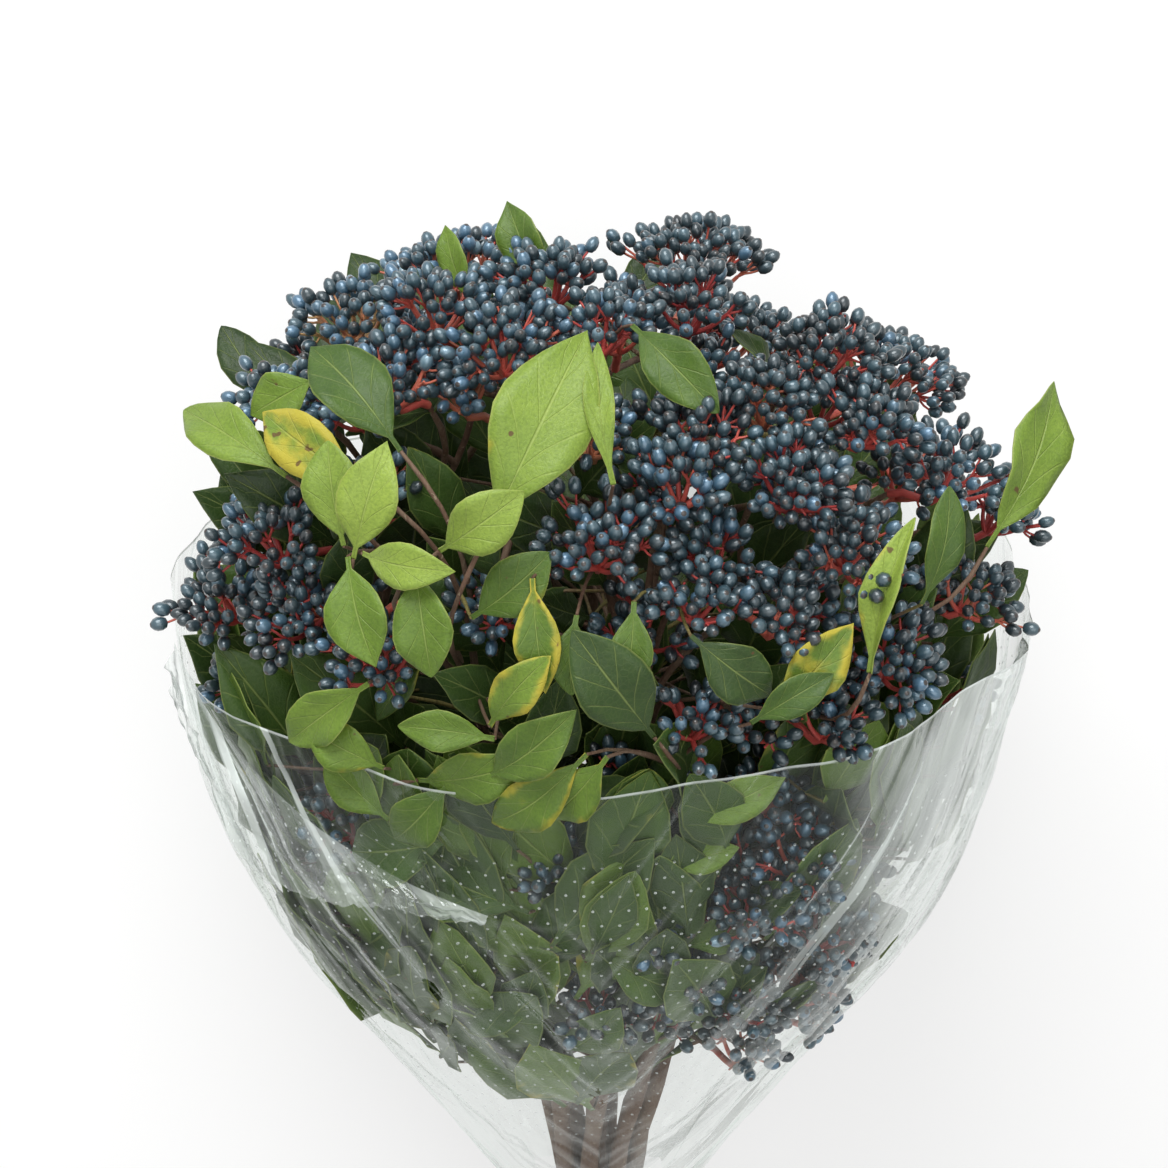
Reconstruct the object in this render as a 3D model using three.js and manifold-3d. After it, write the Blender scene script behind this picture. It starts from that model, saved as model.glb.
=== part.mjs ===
// A florist's bunch of laurustinus in berry: cut stems tied with a rubber band, in a clear film sleeve.
// Millimetres, +Z up. The bunch is modelled upright, along +Y from its cut ends to its berry heads with
// its best side towards +Z, and each piece is then laid down: the best side ends on top, and the sleeve
// is flattened where it rests.

import * as THREE from "three";
import { mergeVertices } from "three/addons/utils/BufferGeometryUtils.js";
import Module from "manifold-3d";

const wasm = await Module();
wasm.setup();

// How the bunch lies
const rise = THREE.MathUtils.degToRad(23); // its axis climbs from the cut ends to the heads
const axisHeightAtCut = 19;
const clearance = 0.4; // between pieces that touch

// Film sleeve: a straight cone up from its small end, which swells round the leaves to its rim
const filmWall = 0.8;
const tailAlong = 80;
const tailRadius = 40;
const swellAlong = 250;
const swellRadius = 148;
const rimAlong = 430;
const rimRadius = 198;
const sleeveSides = 36;
const gatherCount = 9; // shallow pleats where the film narrows
const gatherDepth = 3;
const gatherReach = 70;

// Stems and their band
const stemRadius = 5;
const stemTipRadius = 2.6;
const bundleRadius = 15; // of the ring of stems at the band, round one in the middle
const stemTop = 415;
const bandAlong = 62;
const bandWidth = 7;
const bandWall = 1.6;
const twigRadius = 2.1;
const twigTipRadius = 1.5;
const twigLead = 75; // a twig leaves its stem this far below what it carries
const shootRadius = 1.3; // the thin side shoots inside the film, each joined with the leaf or head that it bears
const shootTipRadius = 1;

// Berry heads: a dome of berries on rays, over one stalk
const stalkLength = 26;
const stalkRadius = 1.9;
const heartAlong = 400; // the heads look away from this point of the axis
const heartDrop = 60; // and the low ones from this far below themselves

// Leaves
const leafThickness = 1.2;
const petioleShare = 0.14;
const petioleWidth = 2.4;
const shootLeafCount = 108; // places spread round inside the film: a leaf grows where there is room
const shootLeafDepths = [12, 14, 44]; // from the film's outside
const shootLeafLength = 68;
const shootLeafLow = 185;
const floorMargin = 7; // between such a leaf and what the bunch lies on
const roomMargin = 3;

const colours = {
  film: 0xd5dedb,
  band: 0xb98d4d,
  bark: 0x6d4f3a,
  leaf: 0x4f7a2b,
  berry: 0x26394a,
};

// Each stem: its place in the band's ring and the way it leans (degrees, 0 to the right and 90 to the
// best side), and how far out its top is. The middle stem has no place in the ring.
const stems = [
  { ring: 22, turn: 12, spread: 98 },
  { ring: 67, turn: 50, spread: 104 },
  { ring: 112, turn: 82, spread: 112 },
  { ring: 157, turn: 118, spread: 110 },
  { ring: 202, turn: 160, spread: 104 },
  { ring: 247, turn: 212, spread: 92 },
  { ring: 292, turn: 268, spread: 88 },
  { ring: 337, turn: 325, spread: 92 },
  { ring: null, turn: 80, spread: 34 },
];

// Each berry head: the middle of its dome as x, along and front, and the dome's radius.
const heads = [
  { at: [-110, 575, 20], radius: 27 },
  { at: [-72, 588, 42], radius: 26 },
  { at: [-22, 596, 26], radius: 26 },
  { at: [-42, 586, 76], radius: 26 },
  { at: [0, 590, 70], radius: 22 },
  { at: [-88, 572, 80], radius: 25 },
  { at: [-140, 548, 56], radius: 20 },
  { at: [38, 592, 48], radius: 24 },
  { at: [96, 576, 57], radius: 27 },
  { at: [68, 570, 98], radius: 23 },
  { at: [112, 556, 90], radius: 25 },
  { at: [42, 565, 122], radius: 23 },
  { at: [32, 550, 144], radius: 22 },
  { at: [78, 546, 134], radius: 25 },
  { at: [148, 524, 84], radius: 26 },
  { at: [176, 478, 34], radius: 20 },
  { at: [102, 518, 142], radius: 25 },
  { at: [-2, 530, 162], radius: 27 },
  { at: [38, 508, 172], radius: 22 },
  { at: [70, 498, 168], radius: 19 },
  { at: [-138, 506, 112], radius: 26 },
  { at: [-164, 462, 82], radius: 25 },
  { at: [-126, 482, 128], radius: 24 },
  { at: [-92, 472, 156], radius: 23 },
  { at: [38, 455, 176], radius: 22 },
  { at: [122, 462, 134], radius: 24 },
  { at: [160, 466, 86], radius: 22 },
  { at: [92, 440, 158], radius: 19 },
  { at: [-18, 376, 158], radius: 20 },
  { at: [22, 348, 152], radius: 22 },
  { at: [66, 356, 140], radius: 24 },
  { at: [62, 280, 112], radius: 22 },
  { at: [-66, 572, -40], radius: 34 },
  { at: [44, 574, -52], radius: 34 },
  { at: [-130, 502, -76], radius: 34 },
  { at: [136, 506, -66], radius: 34 },
  { at: [-54, 488, -142], radius: 34 },
  { at: [58, 494, -140], radius: 34 },
];

// The small heads of the side shoots, low inside the film
const shootHeads = [
  { at: [100, 322, 122], radius: 21 },
  { at: [34, 312, 132], radius: 20 },
  { at: [86, 262, 84], radius: 18 },
  { at: [112, 372, 128], radius: 21 },
  { at: [24, 262, 98], radius: 17 },
  { at: [128, 330, 70], radius: 20 },
  { at: [154, 400, 40], radius: 22 },
  { at: [-112, 372, 110], radius: 20 },
  { at: [-150, 420, 60], radius: 20 },
];

// Each leaf: where its stalk starts and its tip ends, as x, along and front, its width and its roll.
const leaves = [
  { from: [-44, 536, 172], to: [-6, 600, 126], width: 44, roll: 0 },
  { from: [-63, 528, 173], to: [-30, 556, 178], width: 26, roll: 8 },
  { from: [-97, 520, 164], to: [-83, 566, 154], width: 27, roll: -6 },
  { from: [-126, 534, 120], to: [-172, 543, 76], width: 25, roll: 12 },
  { from: [-92, 538, 138], to: [-136, 556, 106], width: 27, roll: -10 },
  { from: [-80, 546, 122], to: [-118, 574, 82], width: 34, roll: 20 },
  { from: [158, 494, 104], to: [188, 548, 58], width: 30, roll: 24 },
  { from: [106, 470, 166], to: [122, 532, 152], width: 16, roll: -30 },
  { from: [20, 456, 192], to: [-12, 506, 196], width: 33, roll: 0 },
  { from: [-26, 446, 192], to: [-74, 424, 172], width: 27, roll: 0 },
  { from: [-30, 352, 146], to: [-88, 374, 142], width: 36, roll: 0 },
];

const laying = new THREE.Matrix4().makeRotationX(rise).setPosition(0, 0, axisHeightAtCut);
const standing = laying.clone().invert();
const best = new THREE.Vector3(0, 0.45, 0.9).normalize(); // the way the leaves face

// Rooms between the stems and the film that stay open, as the bunch lies: x, y from the cut ends, and z
const openRooms = [
  [[-55, 240, 3], [55, 429, 62]],
  [[-140, 280, 60], [-85, 401, 140]],
  [[85, 280, 60], [140, 401, 140]],
].map(([low, high]) => new THREE.Box3(new THREE.Vector3(...low), new THREE.Vector3(...high)).expandByScalar(roomMargin));

// Solids and meshes

function solidFrom(geometry) {
  const bare = geometry.index ? geometry.toNonIndexed() : geometry.clone();
  bare.deleteAttribute("normal");
  bare.deleteAttribute("uv");
  const merged = mergeVertices(bare, 1e-3);
  return new wasm.Manifold(
    new wasm.Mesh({
      numProp: 3,
      vertProperties: merged.attributes.position.array,
      triVerts: new Uint32Array(merged.index.array),
    }),
  );
}

function geometryFrom(solid) {
  const mesh = solid.getMesh();
  const geometry = new THREE.BufferGeometry();
  geometry.setAttribute("position", new THREE.BufferAttribute(mesh.vertProperties, 3));
  geometry.setIndex(new THREE.BufferAttribute(mesh.triVerts, 1));
  geometry.computeVertexNormals();
  return geometry;
}

// Moves every vertex of a geometry by a function of its place and its number.
function reshape(geometry, move) {
  const position = geometry.attributes.position;
  const point = new THREE.Vector3();
  for (let i = 0; i < position.count; i++) {
    point.fromBufferAttribute(position, i);
    move(point, i);
    position.setXYZ(i, point.x, point.y, point.z);
  }
  return geometry;
}

function largestBody(solid) {
  const bodies = solid.decompose();
  return bodies.reduce((most, body) => (body.volume() > most.volume() ? body : most));
}

// Film sleeve

function sleeveRadius(along) {
  if (along < swellAlong) {
    return THREE.MathUtils.mapLinear(along, tailAlong, swellAlong, tailRadius, swellRadius);
  }
  const slope = (swellRadius - tailRadius) / (swellAlong - tailAlong);
  const power = (slope * (rimAlong - swellAlong)) / (rimRadius - swellRadius);
  const left = 1 - Math.min(1, (along - swellAlong) / (rimAlong - swellAlong));
  return rimRadius - (rimRadius - swellRadius) * Math.pow(left, power);
}

// Splits the faces from one row of a lathe on along their other diagonal.
function splitOtherWay(lathe, rows, firstRow) {
  for (let i = 0; i < sleeveSides; i++) {
    for (let row = firstRow; row < rows - 1; row++) {
      const a = i * rows + row;
      const b = a + rows;
      const corners = [a, b, b + 1, b + 1, a + 1, a];
      corners.forEach((corner, k) => lathe.index.setX(6 * (i * (rows - 1) + row) + k, corner));
    }
  }
}

// A wall between two offsets from the sleeve's outside, flattened where it would pass below its floor.
// Both its faces are split alike, so they don't cross at the edge of the flat.
function sleeveWall(outerOffset, innerOffset, outerFloor, innerFloor, overhang) {
  const stations = [tailAlong, 115, 150, 185, 220, swellAlong, 285, 320, 360, 395, rimAlong];
  const ends = [tailAlong - overhang, ...stations.slice(1, -1), rimAlong + overhang];
  const outer = ends.map((along, i) => new THREE.Vector2(sleeveRadius(stations[i]) + outerOffset, along));
  const inner = ends.map((along, i) => new THREE.Vector2(sleeveRadius(stations[i]) + innerOffset, along));
  const profile = [...outer, ...inner.reverse(), outer[0].clone()];
  const wall = new THREE.LatheGeometry(profile, sleeveSides);
  splitOtherWay(wall, profile.length, outer.length);
  reshape(wall, (point) => {
    const turn = Math.atan2(point.x, point.z);
    const fade = Math.exp(-Math.pow((point.y - tailAlong) / gatherReach, 2));
    const radius = Math.hypot(point.x, point.z);
    const wave = 1 + (gatherDepth * fade * Math.cos(gatherCount * turn)) / radius;
    point.x *= wave;
    point.z *= wave;
  });
  wall.applyMatrix4(laying);
  return reshape(wall, (point, i) => {
    const row = i % profile.length;
    const isOuter = row < outer.length || row === profile.length - 1;
    point.z = Math.max(point.z, isOuter ? outerFloor : innerFloor);
  });
}

function filmSleeve() {
  return solidFrom(sleeveWall(0, -filmWall, 0, filmWall, 0));
}

// Everything outside the film's inner face, which what it holds may not enter.
function outsideOfFilm() {
  const reach = 70;
  const inner = filmWall + clearance;
  return solidFrom(sleeveWall(reach, -inner, -reach, inner, clearance));
}

// Stems, twigs and their band

// A round bar that tapers along a curve.
function taperedBar(curve, startRadius, endRadius, sides, rows) {
  const bar = new THREE.CylinderGeometry(endRadius, startRadius, 1, sides, rows);
  const frames = curve.computeFrenetFrames(rows, false);
  return reshape(bar, (point) => {
    const share = point.y + 0.5;
    const row = Math.round(share * rows);
    const across = frames.normals[row].clone().multiplyScalar(point.z);
    const side = frames.binormals[row].clone().multiplyScalar(point.x);
    point.copy(curve.getPointAt(share)).add(across).add(side);
  });
}

function stemCurve({ ring, turn, spread }) {
  const out = (radius, along, degrees) => {
    const angle = THREE.MathUtils.degToRad(degrees);
    return new THREE.Vector3(radius * Math.cos(angle), along, radius * Math.sin(angle));
  };
  const packed = ring === null ? 0 : bundleRadius;
  const place = ring ?? turn;
  const fan = stemTop - tailAlong;
  return new THREE.CatmullRomCurve3([
    out(packed, 0, place),
    out(packed, bandAlong, place),
    out(packed * 1.4, tailAlong + 35, place * 0.7 + turn * 0.3),
    out(spread * 0.45, tailAlong + fan * 0.4, turn),
    out(spread * 0.77, tailAlong + fan * 0.72, turn),
    out(spread, stemTop, turn),
  ]);
}

// The point of a stem's curve nearest to a distance along the bunch.
function forkShare(along) {
  return THREE.MathUtils.clamp(along / stemTop, 0.42, 0.97);
}

function twigPath(curve, load) {
  const share = forkShare(load.base.y - twigLead);
  const start = curve.getPointAt(share);
  const lead = curve.getTangentAt(share);
  const reach = start.distanceTo(load.base) * 0.42;
  return new THREE.CubicBezierCurve3(
    start,
    start.clone().addScaledVector(lead, reach),
    load.base.clone().addScaledVector(load.axis, -reach),
    load.base.clone().addScaledVector(load.axis, load.grown ? 2 : -clearance),
  );
}

// A twig, which ends short of what it carries, or a side shoot with what has grown on it.
function twig(curve, load, grow) {
  const path = twigPath(curve, load);
  if (!load.grown) return solidFrom(taperedBar(path, twigRadius + grow, twigTipRadius + grow, 5, 5));
  return solidFrom(taperedBar(path, shootRadius + grow, shootTipRadius + grow, 4, 3)).add(load.grown(grow));
}

function stemSolid(index, grow) {
  const curve = stemCurve(stems[index]);
  let solid = solidFrom(taperedBar(curve, stemRadius + grow, stemTipRadius + grow, 8, 10));
  for (const load of loads.filter((one) => one.stem === index)) {
    solid = solid.add(twig(curve, load, grow));
  }
  return solid;
}

function bandSolid() {
  const inner = bundleRadius + stemRadius + clearance;
  const half = bandWidth / 2;
  const profile = [
    [inner, -half],
    [inner + bandWall, -half],
    [inner + bandWall, half],
    [inner, half],
    [inner, -half],
  ].map(([radius, along]) => new THREE.Vector2(radius, along + bandAlong));
  return solidFrom(new THREE.LatheGeometry(profile, 32));
}

// Berry heads

function headAxis(at) {
  const heart = new THREE.Vector3(0, Math.min(heartAlong, at.y - heartDrop), 0);
  return at.clone().sub(heart).normalize();
}

function headBase(head) {
  const at = new THREE.Vector3(...head.at);
  return at.addScaledVector(headAxis(at), -(stalkLength + head.radius * 0.5));
}

function headSolid(head, grow) {
  const radius = head.radius;
  const top = stalkLength;
  const profile = [
    [0, -grow],
    [stalkRadius + grow, -grow],
    [stalkRadius + grow, top - grow],
    [radius * 0.45, top + radius * 0.1 - grow],
    [radius * 0.84 + grow, top + radius * 0.28 - grow],
    [radius + grow, top + radius * 0.5],
    [radius * 0.9 + grow, top + radius * 0.74 + grow],
    [radius * 0.6 + grow, top + radius * 0.93 + grow],
    [radius * 0.26, top + radius + grow],
    [0, top + radius * 1.03 + grow],
  ].map(([r, along]) => new THREE.Vector2(r, along));
  const dome = reshape(new THREE.LatheGeometry(profile, 9), (point) => {
    if (point.y < top + 1) return;
    const knob = 1 + 0.06 * Math.cos(4 * Math.atan2(point.x, point.z) + point.y * 0.3);
    point.x *= knob;
    point.z *= knob;
  });
  const axis = headAxis(new THREE.Vector3(...head.at));
  dome.applyQuaternion(new THREE.Quaternion().setFromUnitVectors(new THREE.Vector3(0, 1, 0), axis));
  const base = headBase(head);
  return solidFrom(dome.translate(base.x, base.y, base.z));
}

// Leaves

// Half the width of a leaf at a share of its length: a thin stalk, then an oval blade with a point.
function leafHalfWidth(share, width) {
  const blade = (share - petioleShare) / (1 - petioleShare);
  const stalk = petioleWidth / 2;
  if (blade <= 0) return stalk;
  return Math.max(stalk, (width / 2) * Math.pow(Math.sin(Math.PI * Math.pow(blade, 0.85)), 0.8));
}

function leafFrame(leaf) {
  const from = new THREE.Vector3(...leaf.from);
  const ahead = new THREE.Vector3(...leaf.to).sub(from);
  const length = ahead.length();
  ahead.normalize();
  const towards = leaf.face ?? best;
  const face = towards.clone().addScaledVector(ahead, -towards.dot(ahead)).normalize();
  face.applyAxisAngle(ahead, THREE.MathUtils.degToRad(leaf.roll));
  return { from, ahead, length, face, side: new THREE.Vector3().crossVectors(ahead, face) };
}

function leafSolid(leaf, grow) {
  const { from, ahead, length, face, side } = leafFrame(leaf);
  const blade = new THREE.BoxGeometry(1, 1, 1, 2, leaf.rows ?? 8, 1);
  reshape(blade, (point) => {
    const share = point.y + 0.5;
    const half = leafHalfWidth(share, leaf.width) + grow;
    const across = point.x * 2 * half;
    const fold = Math.abs(across) * 0.18; // the two halves rise from the midrib
    const arch = length * 0.1 * Math.sin(Math.PI * share);
    const lift = arch + fold + point.z * (leafThickness + grow * 2);
    point.copy(from).addScaledVector(ahead, share * (length + grow * 2) - grow);
    point.addScaledVector(side, across).addScaledVector(face, lift);
  });
  return solidFrom(blade);
}

// Which stem carries each head and leaf: the one whose top is nearest.
function nearestStem(point) {
  const distances = stems.map((stem) => stemCurve(stem).getPointAt(0.97).distanceTo(point));
  return distances.indexOf(Math.min(...distances));
}

// Lifts a point that would come too near what the bunch lies on.
function offTheFloor(point) {
  const laid = point.applyMatrix4(laying);
  laid.z = Math.max(laid.z, floorMargin);
  return laid.applyMatrix4(standing);
}

// One of the leaves of the side shoots, which lie along the film's inside and face out.
function shootLeaf(k) {
  const share = (step) => (k * step) % 1; // evenly spread from 0 to 1, and differently for each step
  const at = (turn, along, depth) => {
    const radius = sleeveRadius(along) - depth;
    return offTheFloor(new THREE.Vector3(radius * Math.cos(turn), along, radius * Math.sin(turn)));
  };
  const depth = shootLeafDepths[k % shootLeafDepths.length];
  const length = shootLeafLength * (0.8 + 0.4 * share(0.4142));
  const turn = 2 * Math.PI * share(0.5698);
  const lean = share(0.7323) - 0.5;
  const along = THREE.MathUtils.lerp(shootLeafLow, rimAlong - 30, Math.pow(share(0.7549), 0.75));
  const swing = (length * Math.sin(lean)) / sleeveRadius(along);
  const top = Math.min(along + 0.92 * length * Math.cos(lean), rimAlong + 6);
  return {
    from: at(turn, along, depth + 9).toArray(),
    to: at(turn + swing, top, depth).toArray(),
    width: length * 0.46,
    roll: 0,
    face: new THREE.Vector3(Math.cos(turn), 0, Math.sin(turn)),
    rows: 4,
  };
}

function headLoad(head) {
  const base = headBase(head);
  return { base, axis: headAxis(new THREE.Vector3(...head.at)), stem: nearestStem(base) };
}

function leafLoad(leaf) {
  const { from, ahead } = leafFrame(leaf);
  return { base: from, axis: ahead, stem: nearestStem(from) };
}

// A side shoot's leaf grows where it and its twig keep out of the open rooms, and it out of the heads.
function hasRoom(leaf) {
  const { from, ahead, length, side } = leafFrame(leaf);
  const blade = [];
  for (const share of [0, 0.25, 0.5, 0.75, 1]) {
    for (const across of [-0.5, 0, 0.5]) {
      blade.push(from.clone().addScaledVector(ahead, share * length).addScaledVector(side, across * leaf.width));
    }
  }
  const load = leafLoad(leaf);
  const shoot = twigPath(stemCurve(stems[load.stem]), load).getPoints(10);
  const meetsHead = ({ at, radius }) => blade.some((point) => point.distanceTo(new THREE.Vector3(...at)) < radius);
  const meetsRoom = (room) => [...blade, ...shoot].some((point) => room.containsPoint(point.clone().applyMatrix4(laying)));
  return ![...heads, ...shootHeads].some(meetsHead) && !openRooms.some(meetsRoom);
}

const shootLeaves = Array.from({ length: shootLeafCount }, (_, k) => shootLeaf(k)).filter(hasRoom);
const loads = [
  ...heads.map(headLoad),
  ...leaves.map(leafLoad),
  ...shootHeads.map((head) => ({ ...headLoad(head), grown: (grow) => headSolid(head, grow) })),
  ...shootLeaves.map((leaf) => ({ ...leafLoad(leaf), grown: (grow) => leafSolid(leaf, grow) })),
];

// Assembly: each piece gives way to those placed before it

const bunch = new THREE.Group();
const outside = outsideOfFilm();
const taken = [];

function addMesh(name, solid, colour, roughness) {
  const material = new THREE.MeshStandardMaterial({ color: colour, roughness, metalness: 0 });
  const mesh = new THREE.Mesh(geometryFrom(solid), material);
  mesh.name = name;
  bunch.add(mesh);
}

function addPiece(name, make, colour, roughness) {
  const laid = (grow) => make(grow).transform(laying.elements);
  let solid = laid(0).subtract(outside);
  for (const other of taken) {
    solid = solid.subtract(other);
  }
  addMesh(name, largestBody(solid), colour, roughness);
  taken.push(laid(clearance));
}

const numbered = (name, index) => `${name}_${String(index + 1).padStart(2, "0")}`;

addMesh("film_sleeve", filmSleeve(), colours.film, 0.15);
addMesh("rubber_band", bandSolid().transform(laying.elements), colours.band, 0.7);
stems.forEach((stem, i) => addPiece(numbered("stem", i), (grow) => stemSolid(i, grow), colours.bark, 0.8));
leaves.forEach((leaf, i) => addPiece(numbered("leaf", i), (grow) => leafSolid(leaf, grow), colours.leaf, 0.5));
heads.forEach((head, i) => addPiece(numbered("umbel", i), (grow) => headSolid(head, grow), colours.berry, 0.35));

// The origin is under the middle of the lying bunch.
const box = new THREE.Box3().setFromObject(bunch);
const middle = box.getCenter(new THREE.Vector3());
bunch.position.set(-middle.x, -middle.y, 0);

export default bunch;
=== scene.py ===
import bpy, bmesh, math, random
from mathutils import Matrix, Quaternion, Vector, noise
from mathutils.kdtree import KDTree


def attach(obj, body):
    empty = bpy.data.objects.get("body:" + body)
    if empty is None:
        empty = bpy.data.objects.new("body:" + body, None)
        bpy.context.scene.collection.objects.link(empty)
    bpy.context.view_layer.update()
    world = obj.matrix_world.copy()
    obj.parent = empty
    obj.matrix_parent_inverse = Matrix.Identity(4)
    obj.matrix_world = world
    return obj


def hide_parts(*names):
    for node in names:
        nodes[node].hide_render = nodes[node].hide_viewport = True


# Viburnum berry bunch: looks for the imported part. Metres, in the part's own frame.
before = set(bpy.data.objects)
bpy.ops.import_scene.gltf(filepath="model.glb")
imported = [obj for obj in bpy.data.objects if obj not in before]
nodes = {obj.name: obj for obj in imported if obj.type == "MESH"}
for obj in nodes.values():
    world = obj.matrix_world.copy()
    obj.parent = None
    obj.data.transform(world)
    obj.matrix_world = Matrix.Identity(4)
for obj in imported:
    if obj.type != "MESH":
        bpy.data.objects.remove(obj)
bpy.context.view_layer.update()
dice = random.Random(2311)


# small helpers

def mix(a, b, share):
    return a + (b - a) * share


def clamp(value, low=0.0, high=1.0):
    return max(low, min(high, value))


def smooth(low, high, value):
    share = clamp((value - low) / (high - low))
    return share * share * (3 - 2 * share)


def spread(middle, share):  # a size that varies a little from one to the next
    return middle * dice.uniform(1 - share, 1 + share)


def pointsOf(name):
    return [v.co.copy() for v in nodes[name].data.vertices]


def middleOf(points):
    return sum(points, Vector()) / len(points)


def across(vector, axis):  # the part of a vector that is square to an axis
    return vector - axis * vector.dot(axis)


def outWay(turn):  # square to the bunch: 0 is right, a quarter turn is the best side
    return Vector((math.cos(turn), 0, 0)) + frontAxis * math.sin(turn)


def spotAt(turn, along, radius):  # metres along the bunch, and out from its axis
    return foot + alongAxis * along + outWay(turn) * radius


def named(kind):
    return sorted(name for name in nodes if name.startswith(kind + "_"))


# the bunch's own directions: its axis lies 23 degrees up, and its foot and rim are read from the solids

stemPoints = {name: pointsOf(name) for name in named("stem")}
cutFaces = [sorted(points, key=lambda p: p.y)[:12] for points in stemPoints.values()]
foot = middleOf([middleOf(face) for face in cutFaces])
filmPoints = pointsOf("film_sleeve")
rimTop = max(filmPoints, key=lambda p: p.z)
rise = math.radians(23)
alongAxis = Vector((0, math.cos(rise), math.sin(rise)))
frontAxis = Vector((0, -math.sin(rise), math.cos(rise)))


def place(x, along, front):  # millimetres on the upright bunch, as a point of the lying one
    return foot + Vector((x, 0, 0)) * 0.001 + alongAxis * along * 0.001 + frontAxis * front * 0.001


def bunchCoordinates(point):
    offset = point - foot
    return offset.x, offset.dot(alongAxis), offset.dot(frontAxis)


rimAlong = bunchCoordinates(rimTop)[1]


def sleeveRadius(along):  # the film's outside, from its own vertices
    rings = sleeveRings
    if along <= rings[0][0]:
        return rings[0][1]
    for (a, ra), (b, rb) in zip(rings, rings[1:]):
        if along <= b:
            return mix(ra, rb, (along - a) / (b - a))
    return rings[-1][1]


def readSleeveRings():
    best = {}
    for point in filmPoints:
        x, along, front = bunchCoordinates(point)
        if abs(x) < 0.02 and front > 0:
            key = round(along, 3)
            best[key] = max(best.get(key, 0), math.hypot(x, front))
    return sorted(best.items())


sleeveRings = readSleeveRings()

# For each stem: its place in the band's ring, the way it leans, and how far out its top is, in degrees
# (0 right, 90 the best side) and millimetres. The middle stem has no place in the ring.
stem = {
    "lines": [(22, 12, 98), (67, 50, 104), (112, 82, 112), (157, 118, 110), (202, 160, 104), (247, 212, 92),
              (292, 268, 88), (337, 325, 92), (None, 80, 34)],
    "packed": 15, "band": 62, "tail": 80, "top": 415, "lead": 75, "forks": (0.42, 0.97),
    "radius": 0.005, "tipRadius": 0.0024, "twigRadii": (0.0018, 0.0012), "leafTwigRadii": (0.0014, 0.0008),
    "sideTwig": {"head": 0.0014, "leaf": 0.0007, "reach": 0.15, "knots": 6}, "knots": 28, "twigKnots": 12,
}


def smoothLine(points, steps):  # a centripetal Catmull-Rom line
    ends = [points[0] * 2 - points[1], *points, points[-1] * 2 - points[-2]]
    line = []
    for a, b, c, d in zip(ends, ends[1:], ends[2:], ends[3:]):
        before, here, after = ((q - p).length ** 0.5 for p, q in ((a, b), (b, c), (c, d)))
        leave = ((b - a) / before - (c - a) / (before + here) + (c - b) / here) * here
        arrive = ((c - b) / here - (d - b) / (here + after) + (d - c) / after) * here
        for i in range(steps):
            t = i / steps
            line.append(b * (2 * t ** 3 - 3 * t ** 2 + 1) + leave * (t ** 3 - 2 * t ** 2 + t)
                        + c * (3 * t ** 2 - 2 * t ** 3) + arrive * (t ** 3 - t ** 2))
    return line + [points[-1]]


def linePoint(line, share):  # the point and the direction at a share of a line's length
    pieces = [(b - a).length for a, b in zip(line, line[1:])]
    left = share * sum(pieces)
    for a, b, length in zip(line, line[1:], pieces):
        if left <= length:
            break
        left -= length
    return a.lerp(b, min(1.0, left / length)), (b - a).normalized()


def stemLine(ring, turn, out):
    packed, start = (0, turn) if ring is None else (stem["packed"], ring)
    band, tail, fan = stem["band"], stem["tail"], stem["top"] - stem["tail"]
    knots = [(packed, 0, start), (packed, band, start), (packed * 1.4, tail + 35, start * 0.7 + turn * 0.3),
             (out * 0.45, tail + fan * 0.4, turn), (out * 0.77, tail + fan * 0.72, turn),
             (out, stem["top"], turn)]
    line = []
    for radius, along, angle in knots:
        angle = math.radians(angle)
        line.append(place(radius * math.cos(angle), along, radius * math.sin(angle)))
    return smoothLine(line, 12)


stemLines = {name: stemLine(*row) for name, row in zip(named("stem"), stem["lines"])}


def stemFor(point):  # the stem whose top is nearest
    return min(stemLines, key=lambda name: (linePoint(stemLines[name], 0.97)[0] - point).length)


# shader maths as plain expressions

def wired(operation, swapped=False):  # a method that gives a Math node the flow and what is beside it
    def use(self, *others):
        return self.math(operation, *others, self) if swapped else self.math(operation, self, *others)
    return use


class Flow:  # a socket, or a number worked out on the way to one
    def __init__(self, tree, socket):
        self.tree, self.socket = tree, socket

    def math(self, operation, *values):
        node = self.tree.nodes.new("ShaderNodeMath")
        node.operation = operation
        for slot, value in zip(node.inputs, values):
            feed(self.tree, slot, value)
        return Flow(self.tree, node.outputs[0])

    __add__, __radd__ = wired("ADD"), wired("ADD", True)
    __sub__, __rsub__ = wired("SUBTRACT"), wired("SUBTRACT", True)
    __mul__, __rmul__ = wired("MULTIPLY"), wired("MULTIPLY", True)
    __truediv__, __pow__ = wired("DIVIDE"), wired("POWER")
    most, least, over = wired("MAXIMUM"), wired("MINIMUM"), wired("GREATER_THAN")
    size, part, floor, root = wired("ABSOLUTE"), wired("FRACT"), wired("FLOOR"), wired("SQRT")

    def ramp(self, low, high):  # 0 below low, 1 above high, eased between
        node = self.tree.nodes.new("ShaderNodeMapRange")
        node.interpolation_type = "SMOOTHSTEP"
        for slot, value in zip(node.inputs, (self, low, high, 0.0, 1.0)):
            feed(self.tree, slot, value)
        return Flow(self.tree, node.outputs[0])


def feed(tree, socket, value):
    if isinstance(value, Flow):
        tree.links.new(value.socket, socket)
    else:
        socket.default_value = value


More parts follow.
